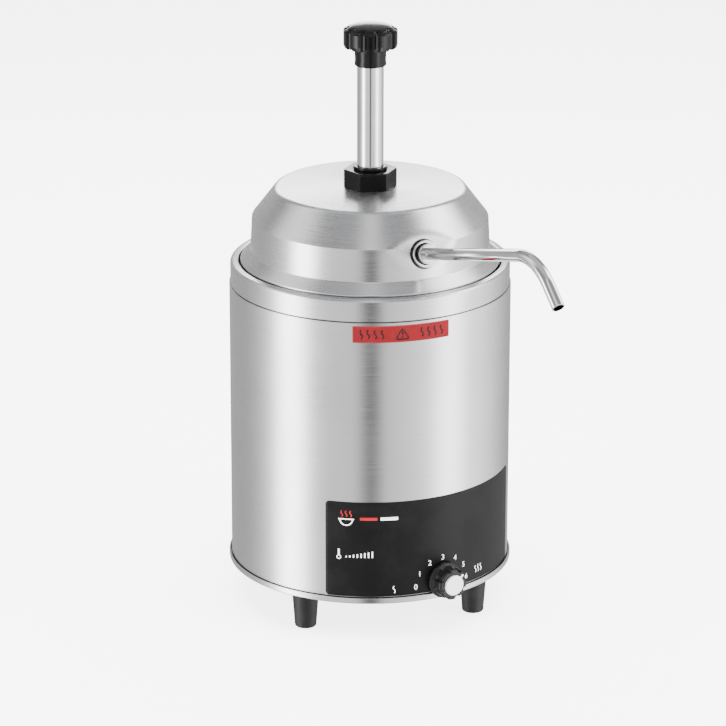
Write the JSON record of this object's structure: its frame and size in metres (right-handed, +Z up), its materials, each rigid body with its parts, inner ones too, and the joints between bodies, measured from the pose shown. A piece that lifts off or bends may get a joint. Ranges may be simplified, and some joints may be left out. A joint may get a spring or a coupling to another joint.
{
  "type": "heated sauce dispenser",
  "caption": "Round electric sauce warmer with a lift-out pot, a lid-mounted hand pump with a curved spout, and a front heat dial.",
  "frame": {"origin": "on the floor under the middle of the round body, at the centre of the four feet", "axes": "+Z up along the pump's axis; -Y is the front, where the dial is; +X is to the right seen from the front"},
  "size_m": [0.2326, 0.4271, 0.4806],
  "materials": {
    "brushed_steel": "fine circular brush",
    "satin_steel": "satin",
    "polished_steel": "polished",
    "spring_steel": "drawn wire",
    "aluminium": "rolled",
    "brass": "machined",
    "gloss_black": "glossy moulded",
    "matte_black": "satin moulded",
    "black_rubber": "moulded",
    "silicone": "soft satin",
    "silver_cap": "satin",
    "white_mark": "printed",
    "panel_film": "satin film",
    "red_film": "satin film",
    "jacket_felt": "needled glass felt",
    "white_acetal": "machined",
    "snap_switch": "moulded"
  },
  "bodies": {
    "base": {"foot_front_right": "black_rubber", "foot_rear_right": "black_rubber", "foot_rear_left": "black_rubber", "foot_front_left": "black_rubber", "foot_screws": "satin_steel", "foot_nuts": "satin_steel", "base_pan": "brushed_steel", "outer_wrap": "brushed_steel", "shoulder_ring": "brushed_steel", "water_well": "satin_steel", "insulation_jacket": "jacket_felt", "heat_plate": "aluminium", "heating_element": "satin_steel", "clamp_bar": "satin_steel", "clamp_nut": "satin_steel", "thermal_cutoff": "snap_switch", "thermostat_body": "matte_black", "thermostat_nut": "brass", "feeler_bulb": "brass", "terminal_block": "matte_black", "cord_gland": "matte_black", "gland_nut": "matte_black", "panel_label": "panel_film", "caution_label": "red_film"},
    "dial": {"dial_knob": "matte_black", "dial_cap": "silver_cap", "dial_pointer": "white_mark", "dial_shaft": "satin_steel"},
    "pot": {"inner_pot": "satin_steel"},
    "lid": {"lid_shell": "brushed_steel", "lid_washer": "silicone", "spout_fitting": "polished_steel", "spout_washer": "silicone", "spout_locknut": "polished_steel", "spout_collar": "polished_steel", "spout_tube": "polished_steel", "pump_cylinder": "satin_steel", "hex_nut": "gloss_black", "rod_guide": "gloss_black", "valve_body": "satin_steel", "ball_stop": "satin_steel", "riser_tube": "satin_steel", "return_spring": "spring_steel"},
    "inlet_valve": {"inlet_ball": "polished_steel"},
    "outlet_valve": {"outlet_ball": "polished_steel"},
    "plunger": {"plunger_tube": "polished_steel", "foot_plug": "satin_steel", "head_plug": "satin_steel", "knob_insert": "brass", "piston": "white_acetal", "piston_seal": "silicone", "piston_nut": "satin_steel", "plunger_knob": "gloss_black"}
  },
  "joints": [
    {"name": "pot_lift", "type": "slide", "parent": "base", "child": "pot", "axis": [0, 0, 1], "range_m": [0, 0.24]},
    {"name": "lid_lift", "type": "slide", "parent": "pot", "child": "lid", "axis": [0, 0, 1], "range_m": [0, 0.24]},
    {"name": "plunger_press", "type": "slide", "parent": "lid", "child": "plunger", "axis": [0, 0, -1], "range_m": [0, 0.0745], "stiffness_N_per_m": 450, "springref_m": -0.03, "deforming": ["return_spring"]},
    {"name": "dial_turn", "type": "hinge", "parent": "base", "child": "dial", "pos_m": [0, -0.1167, 0.0463], "axis": [0, 1, 0], "range_deg": [-140, 40]},
    {"name": "inlet_ball_lift", "type": "slide", "parent": "lid", "child": "inlet_valve", "axis": [0, 0, 1], "range_m": [0, 0.003]},
    {"name": "outlet_ball_lift", "type": "slide", "parent": "lid", "child": "outlet_valve", "axis": [0, 0, 1], "range_m": [0, 0.003]}
  ]
}
